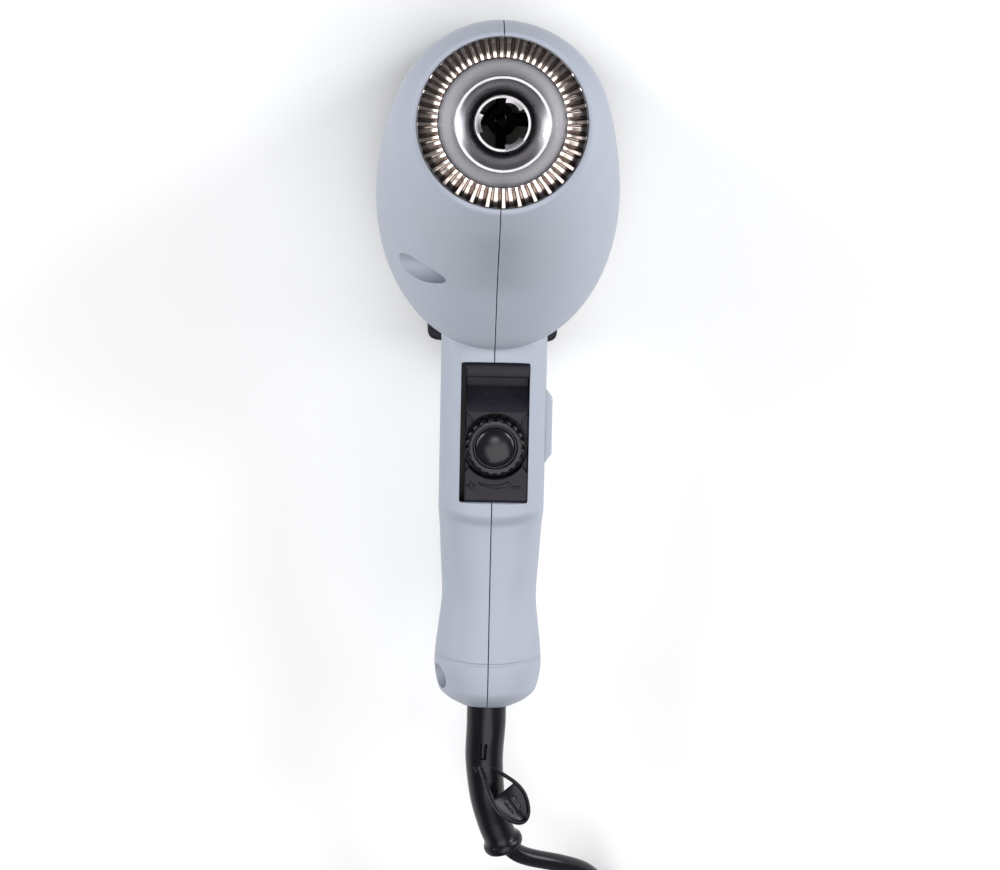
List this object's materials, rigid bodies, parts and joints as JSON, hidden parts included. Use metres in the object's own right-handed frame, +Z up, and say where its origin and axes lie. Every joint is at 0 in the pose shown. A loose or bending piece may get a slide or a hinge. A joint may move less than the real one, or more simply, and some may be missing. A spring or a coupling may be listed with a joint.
{
  "type": "hot air gun",
  "caption": "Pistol-shaped hot air gun with a steel nozzle, pleated heat shield, temperature dial, slide switch, rear stand and a coiled mains cord.",
  "frame": {"origin": "on the floor under the middle of the gun, which stands on its rear pads with the nozzle up", "axes": "+Z up along the nozzle, the way the hot air leaves; the handle leads away along -Y; +X is the slide switch's side"},
  "size_m": [0.1174, 0.4403, 0.173],
  "materials": {
    "shell": "fine matte moulded, light blue grey",
    "charcoal": "matte charcoal",
    "rubber": "black rubber",
    "gloss": "glossy black",
    "steel": "turned steel",
    "warm_steel": "nickel-coloured pleated sheet",
    "zinc": "zinc plated",
    "mica": "mica sheet",
    "ceramic": "fired ceramic",
    "wire": "resistance wire",
    "copper": "enamelled copper",
    "magnet": "ferrite",
    "dark_plastic": "dark engineering plastic",
    "board": "solder-masked laminate",
    "white": "off-white heat-resistant plastic",
    "brown": "insulation",
    "blue": "insulation and potentiometer body"
  },
  "bodies": {
    "housing": {"left_shell": "shell", "right_shell": "shell", "rear_cover": "charcoal", "stand_pad_1": "rubber", "stand_pad_2": "rubber", "stand_pad_3": "rubber", "stand_pad_4": "rubber", "case_screw_head_front": "zinc", "case_screw_head_top": "zinc", "case_screw_head_rear": "zinc", "case_screw_grip": "zinc", "case_screw_cap": "zinc", "heat_shield_ring": "warm_steel", "heat_shield_disc": "steel", "nozzle_collar": "steel", "nozzle_tab_ring": "steel", "heater_tube": "steel", "mica_sleeve": "mica", "ceramic_core": "ceramic", "heating_coil": "wire", "temperature_probe": "steel", "thermal_cutout": "zinc", "fan_duct": "white", "motor_can": "zinc", "motor_end_cap": "white", "motor_magnet_a": "magnet", "motor_magnet_b": "magnet", "motor_bearing_rear": "zinc", "motor_bearing_front": "zinc", "motor_brush_left": "magnet", "motor_brush_right": "magnet", "dial_bezel": "charcoal", "dial_potentiometer": "blue", "control_board": "board", "power_switch": "dark_plastic", "cord_clamp": "charcoal", "clamp_screw_1": "zinc", "clamp_screw_2": "zinc", "lead_live": "brown", "lead_neutral": "blue", "strain_relief": "rubber", "mains_cord": "gloss", "cord_coil": "gloss", "coil_tie": "rubber", "plug_body": "rubber", "plug_pin_1": "steel", "plug_pin_2": "steel"},
    "fan_rotor": {"impeller": "dark_plastic", "motor_shaft": "steel", "motor_armature": "copper", "commutator": "copper"},
    "dial": {"temperature_dial": "gloss", "dial_axle": "zinc"},
    "switch": {"switch_button": "shell"}
  },
  "joints": [
    {"name": "fan_spin", "type": "hinge", "parent": "housing", "child": "fan_rotor", "pos_m": [0, 0.0935, 0.055], "axis": [0, 0, 1], "continuous": true},
    {"name": "temperature_turn", "type": "hinge", "parent": "housing", "child": "dial", "pos_m": [0.0008, -0.0272, 0.08271], "axis": [0, -0.0545, 0.9985], "range_deg": [-135, 135]},
    {"name": "switch_slide", "type": "slide", "parent": "housing", "child": "switch", "axis": [0, 1, 0], "range_m": [-0.003, 0.003]}
  ]
}
